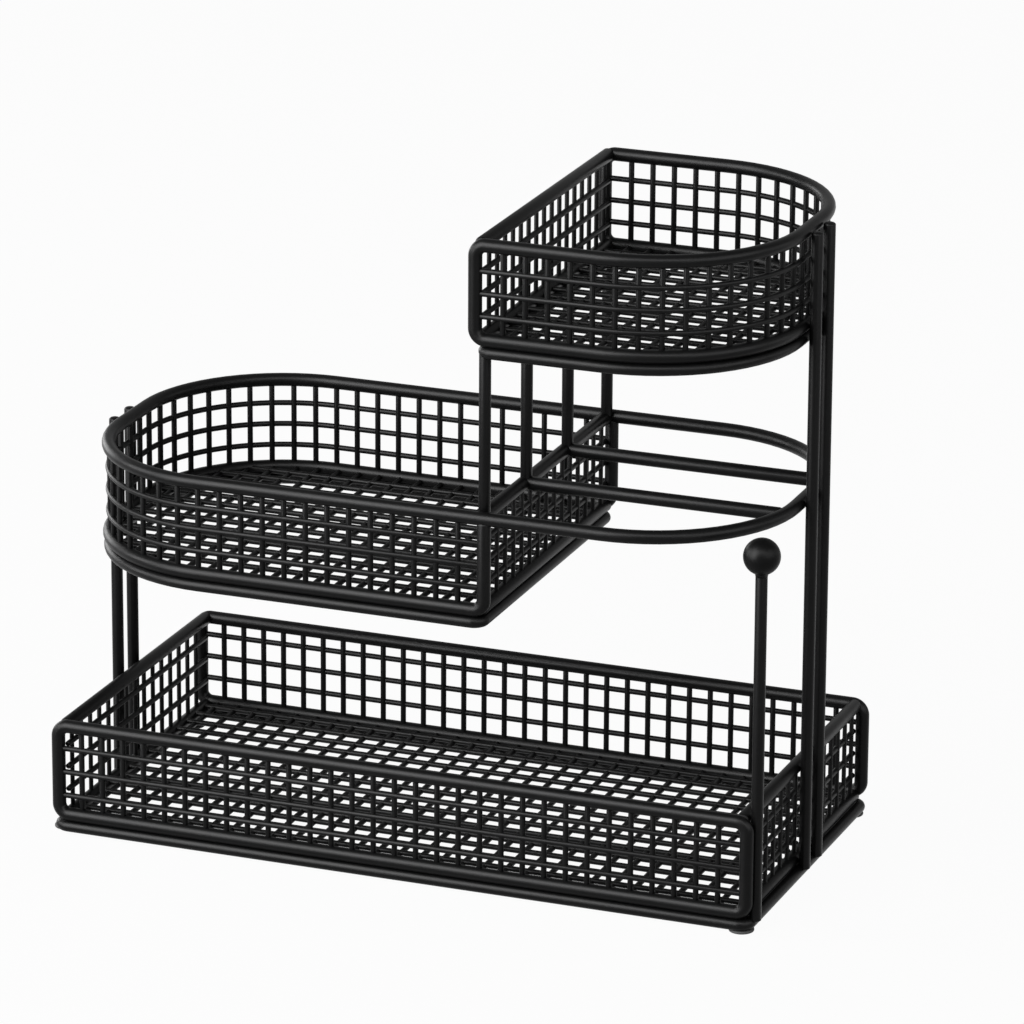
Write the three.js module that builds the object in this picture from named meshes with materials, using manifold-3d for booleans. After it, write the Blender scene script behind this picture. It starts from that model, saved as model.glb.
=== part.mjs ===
// Three-tier organizer rack of black coated steel wire, in millimetres, +Z up.
// A long tray stands on four pads. A basket and an open shelf share a rim with two round ends on the middle
// level, and a second basket with a round right end stands on four risers above the shelf.
import * as THREE from "three";
import { mergeVertices } from "three/addons/utils/BufferGeometryUtils.js";
import Module from "manifold-3d";

const wasm = await Module();
wasm.setup();

// Driving sizes. A wire's place is that of its centre line.
const frameWire = 6; // diameter of frames, rims, rails and shelf bars
const postWire = 5.2; // diameter of base rings, posts, risers and the peg
const meshWire = 2.4; // side of a mesh wire
const meshPitch = 9.85; // between neighbouring mesh wires
const layerGap = 0.3; // between the two layers of mesh wires
const edgeProud = 0.2; // a mesh's edge wire past the two layers on either side
const weldGap = 0.1; // left between pieces that are welded together
const rackLength = 313.2; // between the tray's end rails, and between the flats of the round ends
const rackDepth = 156; // front wall to rear wall
const frameOverhang = 3; // uprights of the tray's long frames past the end rails
const baseOverhang = 3.6; // the tray's base ring past the end rails
const wallHeight = 41; // lower wire to upper wire of a wall
const sillDrop = 1.2; // the tray's end sills below the lower wires of its long walls
const tierPitch = 120; // base ring to base ring
const frameBend = 4.8; // corners of the wire frames
const ringCorner = 4.5; // plan corners of the base rings
const roundRadius = 64.5; // plan corners of the round ends
const middleEndX = 40; // uprights at the flat end of the middle basket
const dividerX = 38; // rail and sill between the middle basket and the shelf
const topEndX = 35.6; // uprights at the flat end of the top basket
const topRailInset = 2; // the top basket's end rail and sill inside its uprights
const ringEndX = 38.5; // flat ends of the two baskets' base rings
const riserX = 38.8;
const riserInset = 3.7; // outer risers inside the front and rear walls
const barSpacing = 50; // between the two shelf bars, and between the two inner risers
const postSpacing = 16.2; // between the two posts of a pair
const postRise = 0.8; // posts past the centre of the highest rim they carry
const postDome = 1.2; // height of a post's rounded tip
const ballDiameter = 16;
const ballHeight = 164; // centre of the ball above the tray's base ring
const ballSocketDepth = 9;
const padDiameter = 11;
const padThickness = 1.2;
const padChamfer = 0.3;
const rightPadInset = 3.7; // right pads from the base ring's short side
const rightPadSetback = 4; // right pads from the base ring's long sides
const leftPadSetback = 9; // left pads from the base ring's long sides, under its short side

// Fineness of the faceted shapes
const wireSides = 8;
const bendSteps = 3; // in a small bend
const roundSteps = 9; // in a corner of a round end
const ballSides = 20;
const ballRings = 10;
const padSides = 20;

const frameRadius = frameWire / 2;
const postRadius = postWire / 2;
const frameToPost = frameRadius + postRadius + weldGap; // between a frame's wire and a post beside it
const halfDepth = rackDepth / 2;
const endX = rackLength / 2;
const uprightX = endX + frameOverhang;
const baseX = endX + baseOverhang;
const postX = endX + frameToPost;
const seat = frameRadius + weldGap; // from a frame wire's centre line to what is welded to its side
const postSeat = postRadius + weldGap; // the same for the thinner wires
const layerOffset = (meshWire + layerGap) / 2;
const meshHalf = meshWire + layerGap / 2 + edgeProud; // half the thickness of a mesh at its edge

// Heights of a tier's base ring and of the lower and upper wires of its walls
function tier(index) {
  const ring = padThickness + postSeat + index * tierPitch;
  const low = ring + frameToPost;
  return { ring, low, high: low + wallHeight };
}
const tray = tier(0);
const middle = tier(1);
const top = tier(2);

const coat = { color: 0x1c1d1f, roughness: 0.48, metalness: 0.35 };
const rubber = { color: 0x141414, roughness: 0.85, metalness: 0 };

const rack = new THREE.Group();

function add(name, geometry, finish = coat) {
  const mesh = new THREE.Mesh(geometry, new THREE.MeshStandardMaterial(finish));
  mesh.name = name;
  rack.add(mesh);
  return mesh;
}

// A corner of a route: a point, and the radius of the bend there
function corner(x, y, z, radius = 0) {
  return { point: new THREE.Vector3(x, y, z), radius };
}

// The points of a route whose corners are bent to their radii
function bent(corners, closed = false) {
  const count = corners.length;
  return corners.flatMap(({ point, radius }, i) => {
    const atEnd = !closed && (i === 0 || i === count - 1);
    if (atEnd || radius === 0) return [point.clone()];
    const into = point.clone().sub(corners[(i + count - 1) % count].point).normalize();
    const away = corners[(i + 1) % count].point.clone().sub(point).normalize();
    const turn = into.angleTo(away);
    const axis = into.clone().cross(away).normalize();
    const start = point.clone().addScaledVector(into, -radius * Math.tan(turn / 2));
    const inward = axis.clone().cross(into);
    const centre = start.clone().addScaledVector(inward, radius);
    const steps = radius > 4 * frameWire ? roundSteps : bendSteps;
    return Array.from({ length: steps + 1 }, (_, step) =>
      start.clone().sub(centre).applyAxisAngle(axis, (turn * step) / steps).add(centre),
    );
  });
}

// A wire's centre line, which an extrusion follows from point to point
class WirePath extends THREE.Curve {
  constructor(points, closed) {
    super();
    this.points = closed ? [...points, points[0]] : points;
    this.closed = closed;
    this.steps = this.points.length - 1;
  }
  getPointAt(u, target = new THREE.Vector3()) {
    return target.copy(this.points[Math.round(u * this.steps)]);
  }
  direction(segment) {
    const from = (segment + this.steps) % this.steps;
    return this.points[from + 1].clone().sub(this.points[from]).normalize();
  }
  getTangentAt(u, target = new THREE.Vector3()) {
    const i = Math.round(u * this.steps);
    if (!this.closed && i === 0) return target.copy(this.direction(0));
    if (!this.closed && i === this.steps) return target.copy(this.direction(i - 1));
    return target.copy(this.direction(i - 1)).add(this.direction(i)).normalize();
  }
}

function wireSection(diameter) {
  return new THREE.Shape(
    Array.from({ length: wireSides }, (_, i) => {
      const angle = ((i + 0.5) * 2 * Math.PI) / wireSides;
      return new THREE.Vector2(Math.cos(angle), Math.sin(angle)).multiplyScalar(diameter / 2);
    }),
  );
}

// A bent wire with flat ends, or a ring without ends
function wire(diameter, corners, closed = false) {
  const path = new WirePath(bent(corners, closed), closed);
  const tube = new THREE.ExtrudeGeometry(wireSection(diameter), { steps: path.steps, extrudePath: path });
  if (!closed) return tube;
  const sides = tube.groups[1];
  const positions = tube.getAttribute("position").array;
  const ring = positions.slice(3 * sides.start, 3 * (sides.start + sides.count));
  return new THREE.BufferGeometry().setAttribute("position", new THREE.BufferAttribute(ring, 3));
}

// A straight wire from the front wall's wires to the rear wall's
function crossWire(x, z) {
  const reach = halfDepth - seat;
  return wire(frameWire, [corner(x, -reach, z), corner(x, reach, z)]);
}

// Corners of an outline in plan, with a flat end at flatX and a round end at roundX, inset all round by inset
function basketOutline(flatX, roundX, z, flatRadius, inset = 0) {
  const side = Math.sign(roundX - flatX);
  const y = halfDepth - inset;
  const round = roundX - side * inset;
  const radius = roundRadius - inset;
  return [
    corner(flatX, -side * y, z, flatRadius),
    corner(round, -side * y, z, radius),
    corner(round, side * y, z, radius),
    corner(flatX, side * y, z, flatRadius),
  ];
}

// Joining and cutting of solids
function solid(geometry) {
  const loose = geometry.index ? geometry.toNonIndexed() : geometry;
  const bare = new THREE.BufferGeometry().setAttribute("position", loose.getAttribute("position"));
  const merged = mergeVertices(bare, 1e-4);
  const vertProperties = merged.getAttribute("position").array;
  const triVerts = new Uint32Array(merged.index.array);
  return new wasm.Manifold(new wasm.Mesh({ numProp: 3, vertProperties, triVerts }));
}
function joined(geometries) {
  return geometries.map(solid).reduce((whole, next) => whole.add(next));
}
function geometryOf(manifold) {
  const mesh = manifold.getMesh();
  return new THREE.BufferGeometry()
    .setAttribute("position", new THREE.BufferAttribute(mesh.vertProperties, 3))
    .setIndex(new THREE.BufferAttribute(mesh.triVerts, 1));
}

// Evenly spaced places on both sides of a middle
function spread(length) {
  const count = Math.floor(length / meshPitch);
  return Array.from({ length: count }, (_, i) => (i - (count - 1) / 2) * meshPitch);
}

// Points moved sideways, to the right of the way they run
function shifted(points, distance, closed) {
  const path = new WirePath(points, closed);
  return points.map((point, i) => {
    const tangent = path.getTangentAt(i / path.steps);
    const next = path.direction(Math.min(i, path.steps - 1));
    const reach = distance / tangent.dot(next);
    return new THREE.Vector2(point.x + tangent.y * reach, point.y - tangent.x * reach);
  });
}

// A slab of the given thickness about the plane z = 0
function slab(shape, thickness) {
  const flat = new THREE.ExtrudeGeometry(shape, { depth: thickness, bevelEnabled: false });
  return flat.translate(0, 0, -thickness / 2);
}

// The corners of a closed outline with square corners, moved inwards
function inset(corners, distance) {
  const count = corners.length;
  return corners.map(({ point, radius }, i) => {
    const into = point.clone().sub(corners[(i + count - 1) % count].point).normalize();
    const away = corners[(i + 1) % count].point.clone().sub(point).normalize();
    const { x, y, z } = point.clone().addScaledVector(away.sub(into), distance);
    return corner(x, y, z, Math.max(0, radius - distance));
  });
}

// A flat mesh in the plane z = 0 within an outline that runs anticlockwise:
// wires along y below, wires along x above, and an edge wire all round that holds both layers
function meshSheet(outlineCorners) {
  const outline = bent(outlineCorners, true);
  const box = new THREE.Box3().setFromPoints(outline);
  const size = box.getSize(new THREE.Vector3());
  const centre = box.getCenter(new THREE.Vector3());
  const lattice = [
    ...spread(size.x).map((x) =>
      new THREE.BoxGeometry(meshWire, size.y, meshWire).translate(centre.x + x, centre.y, -layerOffset),
    ),
    ...spread(size.y).map((y) =>
      new THREE.BoxGeometry(size.x, meshWire, meshWire).translate(centre.x, centre.y + y, layerOffset),
    ),
  ];
  const edge = new THREE.Shape(outline);
  edge.holes.push(new THREE.Path(bent(inset(outlineCorners, meshWire), true)));
  const reach = new THREE.Shape(bent(inset(outlineCorners, meshWire / 2), true));
  const wires = joined(lattice).intersect(solid(slab(reach, 4 * meshHalf)));
  return geometryOf(wires.add(solid(slab(edge, 2 * meshHalf))));
}

// A mesh along a bent wall, from z = 0 up: long wires on the outer side, upright wires on the inner side,
// and an edge wire all round. The outer side is to the right of the route.
function meshWall(routeCorners, height) {
  const route = bent(routeCorners);
  const path = new WirePath(route, false);
  const lengths = route.slice(1).map((point, i) => point.distanceTo(route[i]));
  const total = lengths.reduce((sum, length) => sum + length, 0);

  function band(inner, outer, thickness, z) {
    const shape = new THREE.Shape([...shifted(route, outer), ...shifted(route, inner).reverse()]);
    return new THREE.ExtrudeGeometry(shape, { depth: thickness, bevelEnabled: false }).translate(0, 0, z);
  }
  function upright(distance, along, across, offset, tall) {
    let segment = 0;
    let left = distance;
    while (left > lengths[segment] && segment < lengths.length - 1) left -= lengths[segment++];
    const way = path.direction(segment);
    const place = route[segment].clone().addScaledVector(way, left);
    return new THREE.BoxGeometry(along, across, tall)
      .rotateZ(Math.atan2(way.y, way.x))
      .translate(place.x + way.y * offset, place.y - way.x * offset, height / 2);
  }
  const endAlong = meshWire + edgeProud;
  const endFrom = (meshWire - edgeProud) / 2;
  return geometryOf(
    joined([
      band(-meshHalf, meshHalf, meshWire, 0),
      band(-meshHalf, meshHalf, meshWire, height - meshWire),
      ...spread(height).map((z) =>
        band(layerGap / 2, layerGap / 2 + meshWire, meshWire, height / 2 + z - meshWire / 2),
      ),
      ...spread(total).map((s) =>
        upright(total / 2 + s, meshWire, meshWire, -layerOffset, height - meshWire),
      ),
      upright(endFrom, endAlong, 2 * meshHalf, 0, height - 2 * edgeProud),
      upright(total - endFrom, endAlong, 2 * meshHalf, 0, height - 2 * edgeProud),
    ]),
  );
}

// A rectangle's corners about the origin, anticlockwise
function rectangle(length, height, radius = 0) {
  const x = length / 2;
  const y = height / 2;
  return [
    corner(-x, -y, 0, radius),
    corner(x, -y, 0, radius),
    corner(x, y, 0, radius),
    corner(-x, y, 0, radius),
  ];
}

// Stands a flat sheet up, with its upper side turned outwards by turn about Z
function stand(mesh, x, y, z, turn) {
  mesh.rotation.set(Math.PI / 2, 0, turn, "ZYX");
  mesh.position.set(x, y, z);
}

// A round piece about Z from a profile of radii and heights that starts and ends on the axis
function turned(profile, sides) {
  const points = profile.map(([radius, z]) => new THREE.Vector2(radius, z));
  return new THREE.LatheGeometry(points, sides).rotateX(Math.PI / 2);
}

// An upright wire with a rounded tip
function post(from, to) {
  return turned(
    [
      [0, from],
      [postRadius, from],
      [postRadius, to - postDome],
      [postRadius * Math.SQRT1_2, to - postDome * (1 - Math.SQRT1_2)],
      [0, to],
    ],
    wireSides,
  );
}

// Inner size of a wall between its lower and upper wires
const meshHeight = wallHeight - 2 * seat;
const sideReach = rackDepth - 2 * seat;

function buildTray() {
  const { ring, low, high } = tray;
  add("tray_base_ring", wire(
    postWire,
    [
      corner(-baseX, -halfDepth, ring, ringCorner),
      corner(baseX, -halfDepth, ring, ringCorner),
      corner(baseX, halfDepth, ring, ringCorner),
      corner(-baseX, halfDepth, ring, ringCorner),
    ],
    true,
  ));
  const meshCorner = frameBend - seat;
  for (const [name, side] of [["front", -1], ["rear", 1]]) {
    const y = side * halfDepth;
    add(`tray_${name}_frame`, wire(
      frameWire,
      [
        corner(-uprightX, y, low, frameBend),
        corner(uprightX, y, low, frameBend),
        corner(uprightX, y, high, frameBend),
        corner(-uprightX, y, high, frameBend),
      ],
      true,
    ));
    const sheet = meshSheet(rectangle(2 * (uprightX - seat), meshHeight, meshCorner));
    stand(add(`tray_${name}_mesh`, sheet), 0, y, (low + high) / 2, side < 0 ? 0 : Math.PI);
  }
  for (const [name, side] of [["left", -1], ["right", 1]]) {
    const x = side * endX;
    add(`tray_${name}_rail`, crossWire(x, high));
    add(`tray_${name}_sill`, crossWire(x, low - sillDrop));
    const sheet = meshSheet(rectangle(sideReach, meshHeight + sillDrop));
    stand(add(`tray_${name}_mesh`, sheet), x, 0, (low - sillDrop + high) / 2, (side * Math.PI) / 2);
  }
  add("tray_floor_mesh", meshSheet(rectangle(2 * (endX - seat), sideReach))).position.z = low;
}

// Pads under the tray's base ring: the right ones in its corners, the left ones along its short side
function buildPads() {
  const radius = padDiameter / 2;
  const profile = [
    [0, 0],
    [radius - padChamfer, 0],
    [radius, padChamfer],
    [radius, padThickness],
    [0, padThickness],
  ];
  for (const [name, side] of [["front", -1], ["rear", 1]]) {
    const left = add(`${name}_left_pad`, turned(profile, padSides), rubber);
    left.position.set(-baseX, side * (halfDepth - leftPadSetback), 0);
    const right = add(`${name}_right_pad`, turned(profile, padSides), rubber);
    right.position.set(baseX - rightPadInset, side * (halfDepth - rightPadSetback), 0);
  }
}

function buildMiddleBasket() {
  const { ring, low, high } = middle;
  add("middle_base_ring", wire(postWire, basketOutline(ringEndX, -endX, ring, ringCorner), true));

  const [rearFlat, rearRound, frontRound, frontFlat] = basketOutline(middleEndX, -endX, low, frameBend);
  const upperEnd = high - seat;
  add("middle_lower_frame", wire(frameWire, [
    corner(middleEndX, rearFlat.point.y, upperEnd),
    rearFlat,
    rearRound,
    frontRound,
    frontFlat,
    corner(middleEndX, frontFlat.point.y, upperEnd),
  ]));
  add("middle_end_rail", crossWire(dividerX, high));
  add("middle_end_sill", crossWire(dividerX, low));

  const wall = meshWall(basketOutline(middleEndX - frameBend, -endX, 0, 0), meshHeight);
  add("middle_wall_mesh", wall).position.z = low + seat;
  const end = meshSheet(rectangle(sideReach, meshHeight));
  stand(add("middle_end_mesh", end), dividerX, 0, (low + high) / 2, Math.PI / 2);
  const floor = meshSheet(basketOutline(dividerX - seat, -endX, 0, 0, seat));
  add("middle_floor_mesh", floor).position.z = low;
}

// The shelf: the rim that runs round the whole middle level, two bars from the divider rail to the rim's
// round end, and four risers that stand on the divider rail
function buildShelf() {
  const level = middle.high;
  add("middle_rim", wire(frameWire, basketOutline(-endX, endX, level, roundRadius), true));

  const barY = barSpacing / 2;
  const pastFlat = Math.max(0, barY + frameRadius - (halfDepth - roundRadius));
  const drop = roundRadius - Math.sqrt((roundRadius - frameRadius) ** 2 - pastFlat ** 2);
  const barEnd = endX - drop - weldGap;
  for (const [name, side] of [["front", -1], ["rear", 1]]) {
    const y = side * barY;
    add(`${name}_shelf_bar`, wire(frameWire, [corner(dividerX + seat, y, level), corner(barEnd, y, level)]));
    add(`${name}_inner_riser`, riser(y));
    add(`${name}_outer_riser`, riser(side * (halfDepth - riserInset)));
  }
}

// An upright from the divider rail to the top basket's base ring
function riser(y) {
  return wire(postWire, [corner(riserX, y, middle.high + seat), corner(riserX, y, top.ring - postSeat)]);
}

function buildTopBasket() {
  const { ring, low, high } = top;
  add("top_base_ring", wire(postWire, basketOutline(ringEndX, endX, ring, ringCorner), true));
  const lower = basketOutline(topEndX, endX, low, frameBend);
  const upper = basketOutline(topEndX, endX, high, frameBend).reverse();
  add("top_side_frame", wire(frameWire, [...lower, ...upper], true));
  const railX = topEndX + topRailInset;
  add("top_end_rail", crossWire(railX, high));
  add("top_end_sill", crossWire(railX, low));

  const wall = meshWall(basketOutline(topEndX + frameBend, endX, 0, 0), meshHeight);
  add("top_wall_mesh", wall).position.z = low + seat;
  const end = meshSheet(rectangle(sideReach, meshHeight));
  stand(add("top_end_mesh", end), railX, 0, (low + high) / 2, -Math.PI / 2);
  const floor = meshSheet(basketOutline(railX + seat, endX, 0, 0, seat));
  add("top_floor_mesh", floor).position.z = low;
}

// Posts outside the end rails and the flats of the round ends, in pairs
function buildPosts() {
  const foot = tray.ring + postSeat;
  for (const [name, side] of [["front", -1], ["rear", 1]]) {
    const y = (side * postSpacing) / 2;
    add(`left_${name}_post`, post(foot, middle.high + postRise)).position.set(-postX, y, 0);
    add(`right_${name}_post`, post(foot, top.high + postRise)).position.set(postX, y, 0);
  }
}

// A peg on the tray's base ring, behind the front right upright, with a ball on its tip
function buildPeg() {
  const aside = postX - uprightX;
  const behind = Math.sqrt(Math.max(0, frameToPost ** 2 - aside ** 2));
  const ballZ = tray.ring + ballHeight;
  const radius = ballDiameter / 2;
  const socketRadius = postSeat;
  const mouth = Math.asin(socketRadius / radius);
  const socketTop = ballZ - radius * Math.cos(mouth) + ballSocketDepth;
  const peg = add("peg_rod", post(tray.ring + postSeat, socketTop - weldGap));
  const ball = add("ball_knob", turned(
    [
      [0, socketTop],
      [socketRadius, socketTop],
      ...Array.from({ length: ballRings + 1 }, (_, i) => {
        const angle = mouth + ((Math.PI - mouth) * i) / ballRings;
        return [radius * Math.sin(angle), ballZ - radius * Math.cos(angle)];
      }),
    ],
    ballSides,
  ));
  for (const piece of [peg, ball]) piece.position.set(postX, behind - halfDepth, 0);
}

buildTray();
buildPads();
buildMiddleBasket();
buildShelf();
buildTopBasket();
buildPosts();
buildPeg();

// The origin lies on the ground, midway between the outer sides of the left posts and of the ball.
rack.position.x = (postWire - ballDiameter) / 4;

export default rack;
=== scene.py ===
import bpy
import math
from mathutils import Matrix, Vector


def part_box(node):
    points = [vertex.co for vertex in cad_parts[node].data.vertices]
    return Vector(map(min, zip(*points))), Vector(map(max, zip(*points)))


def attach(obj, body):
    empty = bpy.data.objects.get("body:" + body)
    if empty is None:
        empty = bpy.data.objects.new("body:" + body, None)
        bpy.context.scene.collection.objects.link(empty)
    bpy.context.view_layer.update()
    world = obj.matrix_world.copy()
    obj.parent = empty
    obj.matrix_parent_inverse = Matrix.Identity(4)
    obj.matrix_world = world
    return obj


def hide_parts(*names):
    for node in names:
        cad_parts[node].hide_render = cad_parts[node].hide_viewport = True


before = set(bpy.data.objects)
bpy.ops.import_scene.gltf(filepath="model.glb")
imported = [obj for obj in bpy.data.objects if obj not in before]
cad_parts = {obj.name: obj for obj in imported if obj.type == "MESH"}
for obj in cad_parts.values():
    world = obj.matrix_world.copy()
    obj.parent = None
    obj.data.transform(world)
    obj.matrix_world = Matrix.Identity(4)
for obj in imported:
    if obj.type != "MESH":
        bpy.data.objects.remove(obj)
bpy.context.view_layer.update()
mm = 0.001
x, y, z = Vector((1, 0, 0)), Vector((0, 1, 0)), Vector((0, 0, 1))
print("frame loaded:", len(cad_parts), "nodes")


def addObject(name, data):
    made = bpy.data.objects.new(name, data)
    bpy.context.scene.collection.objects.link(made)
    return made


# Camera, from the photograph's vanishing lines and the rack's corners
cameraSetup = {
    "azimuth": 20.99,  # degrees to the right of straight ahead
    "elevation": 18.38,
    "roll": 0.33,
    "distance": 2.8473,
    "lens": 230.47,
    "clip": (0.1, 50.0),
    "target": (0.02003, 0.0, 0.14757),
}


def addCamera(setup):
    turn = math.radians(setup["azimuth"])
    rise = math.radians(setup["elevation"])
    level = math.cos(rise)
    back = Vector((math.sin(turn) * level, -math.cos(turn) * level, math.sin(rise)))
    data = bpy.data.cameras.new("camera")
    data.lens = setup["lens"]
    data.clip_start, data.clip_end = setup["clip"]
    camera = addObject("camera", data)
    aim = (-back).to_track_quat("-Z", "Y").to_matrix()
    aim = Matrix.Rotation(math.radians(setup["roll"]), 3, back) @ aim
    place = Vector(setup["target"]) + back * setup["distance"]
    camera.matrix_world = Matrix.Translation(place) @ aim.to_4x4()
    bpy.context.scene.camera = camera


addCamera(cameraSetup)
print("camera set")


# A shader value: arithmetic on it adds Math nodes
class Value:
    def __init__(self, tree, socket):
        self.tree = tree
        self.socket = socket

    def combine(self, operation, first, second):
        maths = self.tree.nodes.new("ShaderNodeMath")
        maths.operation = operation
        for slot, entry in zip(maths.inputs, (first, second)):
            if isinstance(entry, Value):
                self.tree.links.new(entry.socket, slot)
            else:
                slot.default_value = entry
        return Value(self.tree, maths.outputs[0])

    def __add__(self, other):
        return self.combine("ADD", self, other)

    def __radd__(self, other):
        return self.combine("ADD", other, self)

    def __sub__(self, other):
        return self.combine("SUBTRACT", self, other)

    def __rsub__(self, other):
        return self.combine("SUBTRACT", other, self)

    def __mul__(self, other):
        return self.combine("MULTIPLY", self, other)

    def __rmul__(self, other):
        return self.combine("MULTIPLY", other, self)


# A node tree that is filled from node types, settings and sockets
class Finish:
    def __init__(self, owner):
        owner.use_nodes = True
        self.owner = owner
        self.tree = owner.node_tree
        self.tree.nodes.clear()

    def node(self, kind, settings=None, sockets=None, output=0):
        made = self.tree.nodes.new(kind)
        for key, entry in (settings or {}).items():
            setattr(made, key, entry)
        for key, entry in (sockets or {}).items():
            if isinstance(entry, Value):
                self.tree.links.new(entry.socket, made.inputs[key])
            else:
                made.inputs[key].default_value = entry
        return Value(self.tree, made.outputs[output]) if made.outputs else None

    def surface(self, shader):
        isWorld = isinstance(self.owner, bpy.types.World)
        self.node(
            "ShaderNodeOutputWorld" if isWorld else "ShaderNodeOutputMaterial",
            sockets={"Surface": shader},
        )
        return self.owner


noiseMean = 0.5


def noise(finish, grain):
    place = finish.node("ShaderNodeTexCoord", output="Object")
    return finish.node("ShaderNodeTexNoise", sockets={"Vector": place, **grain})


def shade(finish, share, look):
    # a colour Mix has its factor in socket 0, its colours in 6 and 7 and its result in output 2
    return finish.node(
        "ShaderNodeMix",
        settings={"data_type": "RGBA"},
        sockets={0: share, 6: (*look["dark"], 1.0), 7: (*look["light"], 1.0)},
        output=2,
    )


# Satin black powder coat on the wires
coatFinish = {
    "dark": (0.0022, 0.0022, 0.0023),
    "light": (0.0062, 0.0062, 0.0064),
    "roughness": 0.36,
    "roughnessSpread": 0.08,
    "specular": 0.08,
    "peel": {"Scale": 620.0, "Detail": 3.0, "Roughness": 0.55},  # fine grain, 620 in a metre
    "peelDepth": 0.05 * mm,
    "peelStrength": 0.30,
    "blotch": {"Scale": 60.0, "Detail": 2.0, "Roughness": 0.5},
    "blotchShare": 0.6,  # of the shade; the grain makes the rest
}
meshFinish = {**coatFinish, "roughness": 0.38}
ballFinish = {**coatFinish, "roughness": 0.38, "specular": 0.055, "peelStrength": 0.12}


def powderCoat(name, look):
    coat = Finish(bpy.data.materials.new(name))
    peel = noise(coat, look["peel"])
    blotch = noise(coat, look["blotch"])
    spread = look["roughnessSpread"]
    share = blotch * look["blotchShare"] + peel * (1 - look["blotchShare"])
    grain = coat.node(
        "ShaderNodeBump",
        sockets={"Strength": look["peelStrength"], "Distance": look["peelDepth"], "Height": peel},
    )
    return coat.surface(coat.node(
        "ShaderNodeBsdfPrincipled",
        sockets={
            "Base Color": shade(coat, share, look),
            "Roughness": look["roughness"] + (blotch - noiseMean) * spread + (peel - noiseMean) * spread,
            "Specular IOR Level": look["specular"],
            "Normal": grain,
        },
    ))


# Soft rubber of the pads
rubberFinish = {
    "dark": (0.008, 0.008, 0.008),
    "light": (0.020, 0.020, 0.020),
    "roughness": 0.8,
    "pores": {"Scale": 1500.0, "Detail": 4.0, "Roughness": 0.6},
    "poreDepth": 0.04 * mm,
    "poreStrength": 0.5,
}


def padRubber(name, look):
    rubber = Finish(bpy.data.materials.new(name))
    pores = noise(rubber, look["pores"])
    pitted = rubber.node(
        "ShaderNodeBump",
        sockets={"Strength": look["poreStrength"], "Distance": look["poreDepth"], "Height": pores},
    )
    return rubber.surface(rubber.node(
        "ShaderNodeBsdfPrincipled",
        sockets={
            "Base Color": shade(rubber, pores, look),
            "Roughness": look["roughness"],
            "Normal": pitted,
        },
    ))


wireCoat = powderCoat("wireCoat", coatFinish)
ballCoat = powderCoat("ballCoat", ballFinish)
meshCoat = powderCoat("meshCoat", meshFinish)
rubberPad = padRubber("rubberPad", rubberFinish)
print("finishes made")


# Points and faces that are gathered into one piece
class Stock:
    def __init__(self):
        self.points = []
        self.faces = []

    def grid(self, rows, closed=False):
        # rows of points around a form, joined to each other and capped where the form ends
        base = len(self.points)
        around = len(rows[0])
        for row in rows:
            self.points.extend(row)
        last = len(rows) if closed else len(rows) - 1
        for i in range(last):
            here = base + i * around
            there = base + ((i + 1) % len(rows)) * around
            for j in range(around):
                k = (j + 1) % around
                self.faces.append((here + j, here + k, there + k, there + j))
        if not closed:
            self.faces.append(tuple(base + j for j in reversed(range(around))))
            self.faces.append(tuple(base + (len(rows) - 1) * around + j for j in range(around)))

    def piece(self, name, node, finish):
        data = bpy.data.meshes.new(name)
        data.from_pydata(self.points, [], self.faces)
        data.polygons.foreach_set("use_smooth", [True] * len(data.polygons))
        data.materials.append(finish)
        data.update()
        made = addObject(name, data)
        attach(made, "root")
        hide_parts(node)


# How round wires are drawn
tubeForm = {
    "bendStep": math.radians(6),
    "leastSteps": 5,  # of a bend
    "tip": 0.5,  # height of a wire's rounded ends, in radii
    "tipAngles": [math.radians(angle) for angle in (82, 62, 40, 18)],  # rings of a rounded end
    "steep": 0.9,  # share of Z in its direction from which a wire counts as upright
}


def bend(corners, closed=False, stepAngle=tubeForm["bendStep"]):
    # centre line of a wire whose corners, (point, radius), are bent to their radii
    line = []
    count = len(corners)
    for i, (point, radius) in enumerate(corners):
        if radius == 0 or (not closed and i in (0, count - 1)):
            line.append(point.copy())
            continue
        into = (point - corners[i - 1][0]).normalized()
        away = (corners[(i + 1) % count][0] - point).normalized()
        turn = into.angle(away)
        axis = into.cross(away).normalized()
        start = point - into * (radius * math.tan(turn / 2))
        centre = start + axis.cross(into) * radius
        steps = max(tubeForm["leastSteps"], math.ceil(turn / stepAngle))
        for s in range(steps + 1):
            line.append(centre + Matrix.Rotation(turn * s / steps, 3, axis) @ (start - centre))
    return line


def directions(line, closed=False):
    count = len(line)
    ways = []
    for i in range(count):
        before = line[i] - line[i - 1] if closed or i > 0 else line[1] - line[0]
        after = line[(i + 1) % count] - line[i] if closed or i < count - 1 else line[-1] - line[-2]
        ways.append((before.normalized() + after.normalized()).normalized())
    return ways


def across(way):
    # a direction square to a wire, level where it can be
    return way.cross(z if abs(way.z) < tubeForm["steep"] else x).normalized()


def anglesAround(sides):
    return [2 * math.pi * j / sides for j in range(sides)]


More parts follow.
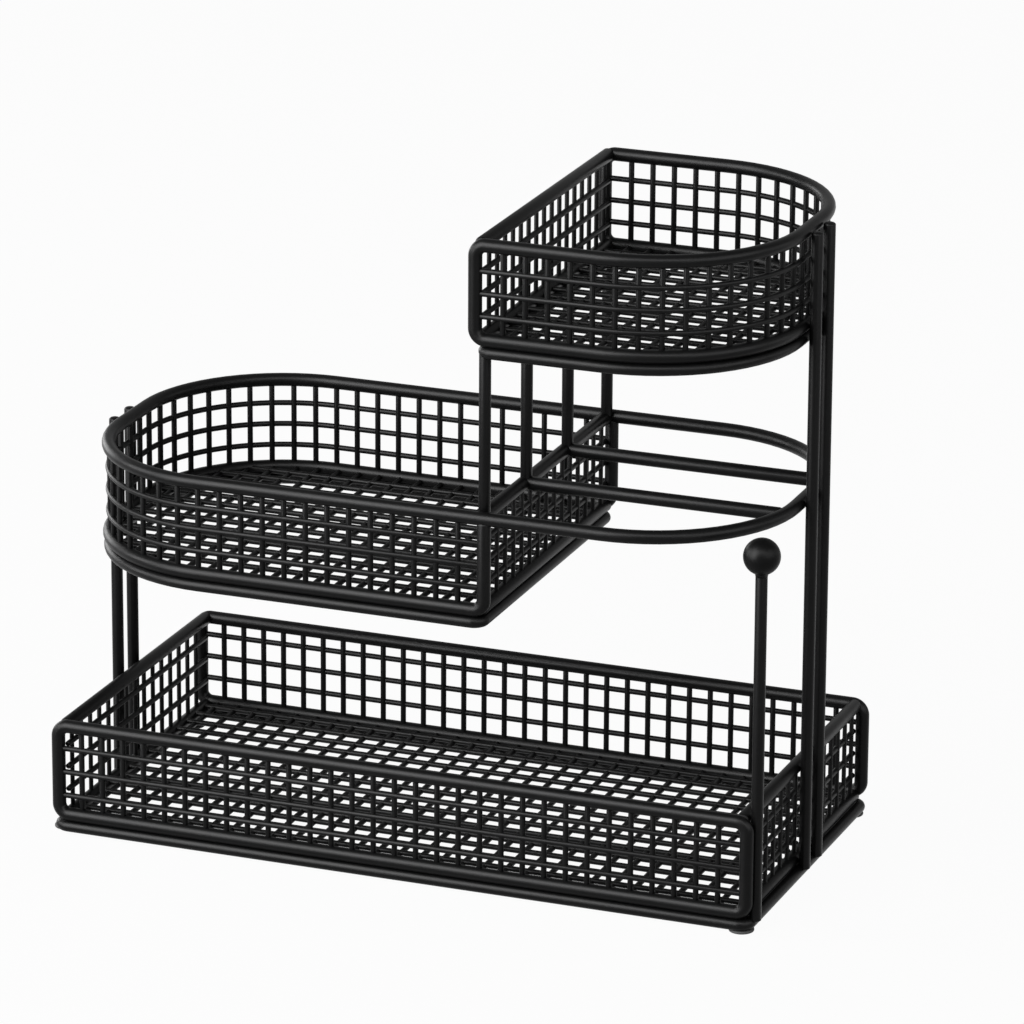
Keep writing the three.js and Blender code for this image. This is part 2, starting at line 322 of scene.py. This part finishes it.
def tube(stock, line, radius, sides, closed=False, tip=tubeForm["tip"]):
    # a round wire along a line, with rounded ends unless it is closed
    ways = directions(line, closed)
    sideways = [across(ways[0])]
    for before, after in zip(ways, ways[1:]):
        sideways.append(before.rotation_difference(after) @ sideways[-1])
    twist = 0.0
    if closed:
        returned = ways[-1].rotation_difference(ways[0]) @ sideways[-1]
        twist = math.atan2(returned.cross(sideways[0]).dot(ways[0]), returned.dot(sideways[0]))

    def ring(i, place, size):
        lie = Matrix.Rotation(twist * i / len(line), 3, ways[i]) @ sideways[i]
        other = ways[i].cross(lie)
        return [place + (lie * math.cos(a) + other * math.sin(a)) * size for a in anglesAround(sides)]

    def roundedEnd(i, inward):
        height = tip * radius
        dome = [
            ring(i, line[i] + inward * height * (1 - math.sin(a)), radius * math.cos(a))
            for a in tubeForm["tipAngles"]
        ]
        return [*dome, ring(i, line[i] + inward * height, radius)]

    if closed:
        rows = [ring(i, place, radius) for i, place in enumerate(line)]
    else:
        between = [ring(i, line[i], radius) for i in range(1, len(line) - 1)]
        rows = roundedEnd(0, ways[0]) + between + roundedEnd(-1, -ways[-1])[::-1]
    stock.grid(rows, closed)


def turnedForm(stock, centre, profile, sides):
    # a form turned about Z from radii and heights
    stock.grid([
        [centre + Vector((radius * math.cos(a), radius * math.sin(a), height)) for a in anglesAround(sides)]
        for radius, height in profile
    ])


# Places of the wires, from the solids they stand for
wire = {
    "frameRadius": 3.0 * mm,  # frames, rims, rails, sills and shelf bars
    "postRadius": 2.6 * mm,  # base rings, posts, risers and the peg
    "ringCorner": 4.5 * mm,
    "frameBend": 4.8 * mm,
    "roundRadius": 64.5 * mm,
    "sides": 24,
    "solidSides": 8,  # of the solids' wires
    "sunk": 2.2 * mm,  # a cut end into the wire it is welded to
    "barSunk": 3.2 * mm,  # a shelf bar's end into the rim, which runs past it at a slant
    "seamRadius": 0.6 * mm,  # coat that fills the line where two wires touch side by side
    "seamSides": 12,
    "freeTip": 0.45,  # height of the free tops of the posts and the peg, in radii
}


def middleAndSize(node):
    low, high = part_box(node)
    return (low + high) / 2, high - low


def lines(node, radius):
    # a wire solid's box, drawn in to its centre lines
    low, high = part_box(node)
    edge = Vector((radius * math.cos(math.pi / wire["solidSides"]),) * 3)
    return low + edge, high - edge


def tierLevels(ringNode, frameNode, rimNode):
    return {
        "ring": lines(ringNode, wire["postRadius"])[0].z,
        "low": lines(frameNode, wire["frameRadius"])[0].z,
        "high": lines(rimNode, wire["frameRadius"])[1].z,
    }


trayLevels = tierLevels("tray_base_ring", "tray_front_frame", "tray_front_frame")
middleLevels = tierLevels("middle_base_ring", "middle_lower_frame", "middle_rim")
topLevels = tierLevels("top_base_ring", "top_side_frame", "top_side_frame")
trayLow, trayHigh = lines("tray_front_frame", wire["frameRadius"])
frontY = trayLow.y
rearY = lines("tray_rear_frame", wire["frameRadius"])[1].y
ringLow, ringHigh = lines("tray_base_ring", wire["postRadius"])
middleRoundX, topRoundX = (limit.x for limit in lines("middle_rim", wire["frameRadius"]))
middleEndX = lines("middle_lower_frame", wire["frameRadius"])[1].x
topEndX = lines("top_side_frame", wire["frameRadius"])[0].x


def rounded(points, radius):
    # corners that share a bend radius
    return [(Vector(point), radius) for point in points]


def outline(flatX, roundX, level, flatRadius):
    # plan of a basket with a flat end and a round end, anticlockwise
    near, far = (frontY, rearY) if roundX > flatX else (rearY, frontY)
    flatStart, flatEnd = rounded([(flatX, near, level), (flatX, far, level)], flatRadius)
    roundEnd = rounded([(roundX, near, level), (roundX, far, level)], wire["roundRadius"])
    return [flatStart, *roundEnd, flatEnd]


def wirePiece(name, node, corners, radius, closed=False, tip=tubeForm["tip"], seam=None):
    stock = Stock()
    tube(stock, bend(corners, closed), radius, wire["sides"], closed, tip)
    if seam:
        tube(stock, seam, wire["seamRadius"], wire["seamSides"])
    stock.piece(name, node, wireCoat)


def frameWire(name, node, corners, closed=False):
    wirePiece(name, node, corners, wire["frameRadius"], closed)


def ringWire(name, node, corners):
    wirePiece(name, node, corners, wire["postRadius"], closed=True)


def straightWire(name, node, axis, radius, sunk=wire["sunk"], seam=None):
    # a straight wire through its solid's middle, sunk at both ends into the wires it is welded to
    centre, size = middleAndSize(node)
    reach = axis * (size.dot(axis) / 2 + sunk)
    wirePiece(name, node, rounded([centre - reach, centre + reach], 0), radius, seam=seam)


def crossWire(name, node, seam=None):
    straightWire(name, node, y, wire["frameRadius"], seam=seam)


def traySill(name, node, ringX):
    # an end sill, with coat along the line where it touches the base ring
    centre, size = middleAndSize(node)
    toRing = Vector((ringX - centre.x, 0, trayLevels["ring"] - centre.z))
    apart = toRing.length
    touch = centre + toRing * ((apart + wire["frameRadius"] - wire["postRadius"]) / (2 * apart))
    reach = y * (size.y / 2)
    crossWire(name, node, seam=[touch - reach, touch + reach])


def trayFrame(name, node, depth):
    low, high = trayLow, trayHigh
    corners = [(low.x, low.z), (high.x, low.z), (high.x, high.z), (low.x, high.z)]
    frameWire(name, node, rounded([(u, depth, v) for u, v in corners], wire["frameBend"]), closed=True)


def addTrayWires():
    low, high = ringLow, ringHigh
    corners = [(low.x, low.y), (high.x, low.y), (high.x, high.y), (low.x, high.y)]
    ring = rounded([(u, v, trayLevels["ring"]) for u, v in corners], wire["ringCorner"])
    ringWire("trayBaseRing", "tray_base_ring", ring)
    trayFrame("trayFrontFrame", "tray_front_frame", frontY)
    trayFrame("trayRearFrame", "tray_rear_frame", rearY)
    crossWire("trayLeftRail", "tray_left_rail")
    crossWire("trayRightRail", "tray_right_rail")
    traySill("trayLeftSill", "tray_left_sill", ringLow.x)
    traySill("trayRightSill", "tray_right_sill", ringHigh.x)


addTrayWires()
print("tray wires bent")


def addMiddleWires():
    ringFlat = lines("middle_base_ring", wire["postRadius"])[1].x
    ring = outline(ringFlat, middleRoundX, middleLevels["ring"], wire["ringCorner"])
    ringWire("middleBaseRing", "middle_base_ring", ring)
    plan = outline(middleEndX, middleRoundX, middleLevels["low"], wire["frameBend"])
    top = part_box("middle_lower_frame")[1].z + wire["sunk"]
    start, end = rounded([(middleEndX, rearY, top), (middleEndX, frontY, top)], 0)
    frameWire("middleLowerFrame", "middle_lower_frame", [start, *plan, end])
    rim = outline(topRoundX, middleRoundX, middleLevels["high"], wire["roundRadius"])
    frameWire("middleRim", "middle_rim", rim, closed=True)
    crossWire("middleEndRail", "middle_end_rail")
    crossWire("middleEndSill", "middle_end_sill")


addMiddleWires()
print("middle basket wires bent")


def addShelf():
    for side in ("front", "rear"):
        straightWire(f"{side}ShelfBar", f"{side}_shelf_bar", x, wire["frameRadius"], wire["barSunk"])
        straightWire(f"{side}InnerRiser", f"{side}_inner_riser", z, wire["postRadius"])
        straightWire(f"{side}OuterRiser", f"{side}_outer_riser", z, wire["postRadius"])


addShelf()
print("shelf wires placed")


def addTopWires():
    ringFlat = lines("top_base_ring", wire["postRadius"])[0].x
    ring = outline(ringFlat, topRoundX, topLevels["ring"], wire["ringCorner"])
    ringWire("topBaseRing", "top_base_ring", ring)
    lower = outline(topEndX, topRoundX, topLevels["low"], wire["frameBend"])
    upper = outline(topEndX, topRoundX, topLevels["high"], wire["frameBend"])
    frameWire("topSideFrame", "top_side_frame", lower + upper[::-1], closed=True)
    crossWire("topEndRail", "top_end_rail")
    crossWire("topEndSill", "top_end_sill")


addTopWires()
print("top basket wires bent")


# Welded mesh of thin round wires
mesh = {
    "radius": 1.25 * mm,
    "endRadius": 1.0 * mm,  # upright wires of the end walls
    "layer": 0.3 * mm,  # a layer of wires from the middle of the mesh
    "clear": 1.8 * mm,  # an outermost wire's middle from the frame beside it
    "sides": 12,
    "sunk": 1.0 * mm,  # a wire's end into the frame it is welded to
    "wallPast": 3.0 * mm,  # long wires of a bent wall past the flat end of its solid
    "wallStep": math.radians(4),  # of the bends in a bent wall
}

# pitch in mm and shift from the mesh's middle in mm, of its cross wires and of its long wires
meshSpacing = {
    "tray_front_mesh": ((9.85, -0.9), (10.9, -0.8)),
    "tray_rear_mesh": ((9.85, -0.4), (10.5, 1.5)),
    "tray_left_mesh": ((9.65, -2.35), (10.5, 1.4)),
    "tray_right_mesh": ((9.66, 3.2), (10.45, -1.1)),
    "tray_floor_mesh": ((9.85, -2.4), (10.6, -4.1)),
    "middle_wall_mesh": ((10.0, 5.0), (9.85, -0.4)),
    "middle_end_mesh": ((9.8, 0.4), (9.85, -0.6)),
    "middle_floor_mesh": ((9.85, -0.85), (10.6, 0.95)),
    "top_wall_mesh": ((9.93, 0.0), (9.85, -0.5)),
    "top_end_mesh": ((9.22, -1.8), (9.85, -1.2)),
    "top_floor_mesh": ((9.85, 0.45), (10.6, 1.9)),
}


def spread(length, pitch, shift):
    # places of a mesh's wires along a length, from its middle
    room = length / 2 - mesh["clear"]
    first = math.ceil((-room / mm - shift) / pitch)
    last = math.floor((room / mm - shift) / pitch)
    return [(shift + i * pitch) * mm for i in range(first, last + 1)]


def meshWire(stock, line, radius=mesh["radius"]):
    tube(stock, line, radius, mesh["sides"])


def flatMesh(name, node, along, up, out, reach, crossRadius=mesh["radius"]):
    # a flat mesh about a solid's middle, with its long wires on the side that out points to;
    # reach gives how far the wires run at each place, both ways
    centre, size = middleAndSize(node)
    crossWires, longWires = meshSpacing[node]
    stock = Stock()
    for v in spread(abs(size.dot(up)), *longWires):
        start, end = reach["along"](v)
        base = centre + up * v + out * mesh["layer"]
        meshWire(stock, [base + along * start, base + along * end])
    for u in spread(abs(size.dot(along)), *crossWires):
        start, end = reach["up"](u)
        base = centre + along * u - out * mesh["layer"]
        meshWire(stock, [base + up * start, base + up * end], crossRadius)
    stock.piece(name, node, meshCoat)


def straightReach(node, along, up):
    # every wire runs into the frame on both sides
    size = middleAndSize(node)[1]
    length = abs(size.dot(along)) + 2 * mesh["sunk"]
    height = abs(size.dot(up)) + 2 * mesh["sunk"]
    return {
        "along": lambda v: (-length / 2, length / 2),
        "up": lambda u: (-height / 2, height / 2),
    }


def longWall(name, node, outward):
    flatMesh(name, node, x, z, outward, straightReach(node, x, z))


def endWall(name, node, inward):
    # long wires lie inside on an end wall, and outside on a long wall
    flatMesh(name, node, y, z, inward, straightReach(node, y, z), mesh["endRadius"])


def addTrayMesh():
    longWall("trayFrontMesh", "tray_front_mesh", -y)
    longWall("trayRearMesh", "tray_rear_mesh", y)
    endWall("trayLeftMesh", "tray_left_mesh", x)
    endWall("trayRightMesh", "tray_right_mesh", -x)
    floorReach = straightReach("tray_floor_mesh", x, y)
    flatMesh("trayFloorMesh", "tray_floor_mesh", x, y, z, floorReach)


addTrayMesh()
print("tray mesh welded")


def basketFloor(name, node, flatSide):
    # a floor mesh with a flat end and a round end
    half = middleAndSize(node)[1] / 2 + Vector((mesh["sunk"], mesh["sunk"], 0))
    radius = wire["roundRadius"] - wire["frameRadius"] + mesh["sunk"]
    straight = half.y - radius

    def along(v):
        past = max(0.0, abs(v) - straight)
        dip = radius - math.sqrt(max(0.0, radius * radius - past * past))
        return (-half.x, half.x - dip) if flatSide == "left" else (-half.x + dip, half.x)

    def up(u):
        roundward = u if flatSide == "left" else -u
        past = max(0.0, roundward - (half.x - radius))
        rise = straight + math.sqrt(max(0.0, radius * radius - past * past))
        return -rise, rise

    flatMesh(name, node, x, y, z, {"along": along, "up": up})


def wallMesh(name, node, flatX, roundX, levels):
    # mesh along a basket's bent wall, long wires outside and upright wires inside
    stock = Stock()
    line = bend(outline(flatX, roundX, 0, 0), stepAngle=mesh["wallStep"])
    ways = directions(line)
    lengths = [(b - a).length for a, b in zip(line, line[1:])]
    total = sum(lengths)
    middleZ = (levels["low"] + levels["high"]) / 2
    height = levels["high"] - levels["low"] - 2 * wire["frameRadius"]
    rise = height / 2 + mesh["sunk"]
    crossWires, longWires = meshSpacing[node]
    for v in spread(height, *longWires):
        level = z * (middleZ + v)
        meshWire(stock, [place + way.cross(z) * mesh["layer"] + level for place, way in zip(line, ways)])
    for s in spread(total, *crossWires):
        left = total / 2 + s
        i = 0
        while left > lengths[i] and i < len(lengths) - 1:
            left -= lengths[i]
            i += 1
        share = left / lengths[i]
        place = line[i].lerp(line[i + 1], share)
        way = ways[i].lerp(ways[i + 1], share).normalized()
        foot = place - way.cross(z) * mesh["layer"]
        meshWire(stock, [foot + z * (middleZ - rise), foot + z * (middleZ + rise)])
    stock.piece(name, node, meshCoat)


def addBasketMesh():
    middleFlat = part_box("middle_wall_mesh")[1].x + mesh["wallPast"]
    wallMesh("middleWallMesh", "middle_wall_mesh", middleFlat, middleRoundX, middleLevels)
    endWall("middleEndMesh", "middle_end_mesh", -x)
    basketFloor("middleFloorMesh", "middle_floor_mesh", "right")
    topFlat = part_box("top_wall_mesh")[0].x - mesh["wallPast"]
    wallMesh("topWallMesh", "top_wall_mesh", topFlat, topRoundX, topLevels)
    endWall("topEndMesh", "top_end_mesh", x)
    basketFloor("topFloorMesh", "top_floor_mesh", "left")


addBasketMesh()
print("basket mesh welded")


# Posts and peg
def upright(name, node):
    # a wire that stands on the one below it, with a free top
    centre, size = middleAndSize(node)
    foot = centre - z * (size.z / 2 + wire["sunk"])
    top = centre + z * (size.z / 2)
    wirePiece(name, node, rounded([foot, top], 0), wire["postRadius"], tip=wire["freeTip"])


def addUprights():
    for end in ("left", "right"):
        for side in ("front", "rear"):
            upright(f"{end}{side.title()}Post", f"{end}_{side}_post")
    upright("pegRod", "peg_rod")


addUprights()
print("posts and peg placed")


# Ball on the peg, with a small fillet of coat below it
ballForm = {
    "sides": 64,
    "steps": 40,
    "neck": 0.7 * mm,  # edge of the ball's opening from the peg
    "filletFoot": (0.98, 1.1 * mm),  # radius as a share of the peg's, and drop below the ball
    "filletSide": (0.25 * mm, 0.5 * mm),  # out from the peg, and drop below the opening
    "crown": 0.05 * mm,  # least radius, at the top
}


def addBall(form):
    low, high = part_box("ball_knob")
    radius = (high.x - low.x) / 2
    centre = Vector(((low.x + high.x) / 2, (low.y + high.y) / 2, high.z - radius))
    rod = wire["postRadius"]
    opening = math.asin((rod + form["neck"]) / radius)
    footShare, footDrop = form["filletFoot"]
    sideOut, sideDrop = form["filletSide"]
    profile = [
        (rod * footShare, -radius - footDrop),
        (rod + sideOut, -radius * math.cos(opening) - sideDrop),
    ]
    for i in range(form["steps"] + 1):
        angle = opening + (math.pi - opening) * i / form["steps"]
        profile.append((max(radius * math.sin(angle), form["crown"]), -radius * math.cos(angle)))
    stock = Stock()
    turnedForm(stock, centre, profile, form["sides"])
    stock.piece("ballKnob", "ball_knob", ballCoat)


addBall(ballForm)
print("ball turned")


# Pads under the base ring; their edges are given as (in from the side, up from the face)
padForm = {
    "sides": 48,
    "flatShare": 0.3,  # radius of the flat middle as a share of the pad's
    "lowerEdge": ((0.5 * mm, 0.0), (0.15 * mm, 0.12 * mm), (0.0, 0.4 * mm)),
    "upperEdge": ((0.0, -0.3 * mm), (0.15 * mm, -0.05 * mm), (0.4 * mm, 0.05 * mm)),
    "crown": 0.3 * mm,  # rise of the upper face at its middle, into the ring
}


def addPad(name, node, form):
    low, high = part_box(node)
    radius = (high.x - low.x) / 2
    thick = high.z - low.z
    centre = Vector(((low.x + high.x) / 2, (low.y + high.y) / 2, low.z))
    profile = [
        (radius * form["flatShare"], 0.0),
        *((radius - inward, rise) for inward, rise in form["lowerEdge"]),
        *((radius - inward, thick + rise) for inward, rise in form["upperEdge"]),
        (radius * form["flatShare"], thick + form["crown"]),
    ]
    stock = Stock()
    turnedForm(stock, centre, profile, form["sides"])
    stock.piece(name, node, rubberPad)


for side in ("front", "rear"):
    for end in ("left", "right"):
        addPad(f"{side}{end.title()}Pad", f"{side}_{end}_pad", padForm)
print("pads placed")


# Floor, world and lamps
stageSetup = {
    "floorSize": 12.0,
    "floorColour": (0.45, 0.45, 0.45, 1.0),
    "white": (1.0, 1.0, 1.0, 1.0),
    "shadowShare": 0.04,  # how much of the floor's own shading the picture shows
    "ambient": (0.3, 0.3, 0.3, 1.0),
    "wallShare": 0.3,  # how white the space above the floor looks, also in the gloss
}
lampAim = Vector((0, 0, 0.15))
softboxes = [
    {"name": "frontSoftbox", "place": (-0.75, -1.75, 1.05), "size": (1.2, 0.8), "power": 30.0},
    {"name": "leftSoftbox", "place": (-1.75, -0.5, 0.7), "size": (0.8, 0.9), "power": 30.0},
]
glossPanels = [  # these show in the gloss alone
    {"name": "frontPanel", "place": (-0.94, -1.34, 0.89), "size": (1.2, 2.0), "power": 112.0},
    {"name": "sidePanel", "place": (1.72, -0.62, 0.95), "size": (2.0, 1.2), "power": 36.0},
    {"name": "upperPanel", "place": (0.42, -1.43, 1.45), "size": (1.8, 0.8), "power": 36.0},
    {"name": "leftPanel", "place": (-1.75, 0.97, 0.4), "size": (1.0, 0.8), "power": 14.0},
    {"name": "rightPanel", "place": (1.7, 0.9, 0.6), "size": (0.8, 0.8), "power": 4.0},
]


def seenDirectly(finish):
    # 1 for rays that show the background: from the camera, in gloss and through clear things
    camera = finish.node("ShaderNodeLightPath", output="Is Camera Ray")
    glossy = finish.node("ShaderNodeLightPath", output="Is Glossy Ray")
    through = finish.node("ShaderNodeLightPath", output="Is Transmission Ray")
    return camera + glossy + through


def addFloor(setup):
    half = setup["floorSize"] / 2
    corners = [(-half, -half, 0), (half, -half, 0), (half, half, 0), (-half, half, 0)]
    data = bpy.data.meshes.new("floor")
    data.from_pydata(corners, [], [(0, 1, 2, 3)])
    floor = addObject("floor", data)
    paper = Finish(bpy.data.materials.new("floorPaper"))
    lit = paper.node("ShaderNodeBsdfDiffuse", sockets={"Color": setup["floorColour"]})
    glow = paper.node("ShaderNodeEmission", sockets={"Color": setup["white"]})
    share = seenDirectly(paper) * (1 - setup["shadowShare"])
    mixed = paper.node("ShaderNodeMixShader", sockets={0: share, 1: lit, 2: glow})
    data.materials.append(paper.surface(mixed))


def addWorld(setup):
    world = bpy.data.worlds.new("studio")
    bpy.context.scene.world = world
    air = Finish(world)
    dim = air.node("ShaderNodeBackground", sockets={"Color": setup["ambient"]})
    bright = air.node("ShaderNodeBackground", sockets={"Color": setup["white"]})
    share = seenDirectly(air) * setup["wallShare"]
    air.surface(air.node("ShaderNodeMixShader", sockets={0: share, 1: dim, 2: bright}))


def addLamp(setup, glossOnly=False):
    data = bpy.data.lights.new(setup["name"], "AREA")
    data.shape = "RECTANGLE"
    data.size, data.size_y = setup["size"]
    data.energy = setup["power"]
    lamp = addObject(setup["name"], data)
    lamp.location = setup["place"]
    lamp.rotation_euler = (lampAim - Vector(setup["place"])).to_track_quat("-Z", "Y").to_euler()
    lamp.visible_diffuse = not glossOnly


addFloor(stageSetup)
addWorld(stageSetup)
for softbox in softboxes:
    addLamp(softbox)
for panel in glossPanels:
    addLamp(panel, glossOnly=True)
bpy.context.scene.view_settings.view_transform = "Standard"
print("stage lit")
